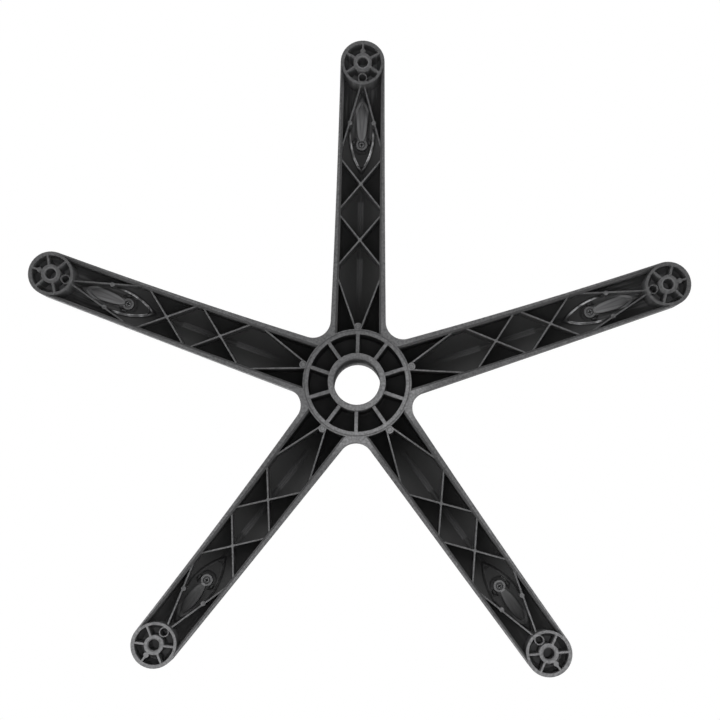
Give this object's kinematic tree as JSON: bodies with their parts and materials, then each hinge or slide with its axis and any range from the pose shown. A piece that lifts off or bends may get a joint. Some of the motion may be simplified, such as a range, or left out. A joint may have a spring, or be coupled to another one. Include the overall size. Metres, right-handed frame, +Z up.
{
  "type": "chair base",
  "caption": "Star-shaped swivel chair base with ribbed channel arms, a gas-lift bore in the hub, a caster socket at each arm tip and a screwed foot pad on each arm.",
  "frame": {"origin": "on the axis of the gas lift's bore, level with the hub tube's lower end", "axes": "+Z up along the bore, +Y along arm 1; arms follow every 72 degrees, turning from +Y towards -X"},
  "size_m": [0.668, 0.6375, 0.1],
  "materials": {
    "base_nylon": "fine moulded texture, satin",
    "pad_plastic": "satin",
    "screw_steel": "zinc plated, dulled"
  },
  "bodies": {
    "root": {"base_moulding": "base_nylon", "foot_pad_1": "pad_plastic", "foot_pad_2": "pad_plastic", "foot_pad_3": "pad_plastic", "foot_pad_4": "pad_plastic", "foot_pad_5": "pad_plastic", "pad_screw_1": "screw_steel", "pad_screw_2": "screw_steel", "pad_screw_3": "screw_steel", "pad_screw_4": "screw_steel", "pad_screw_5": "screw_steel"}
  },
  "joints": []
}
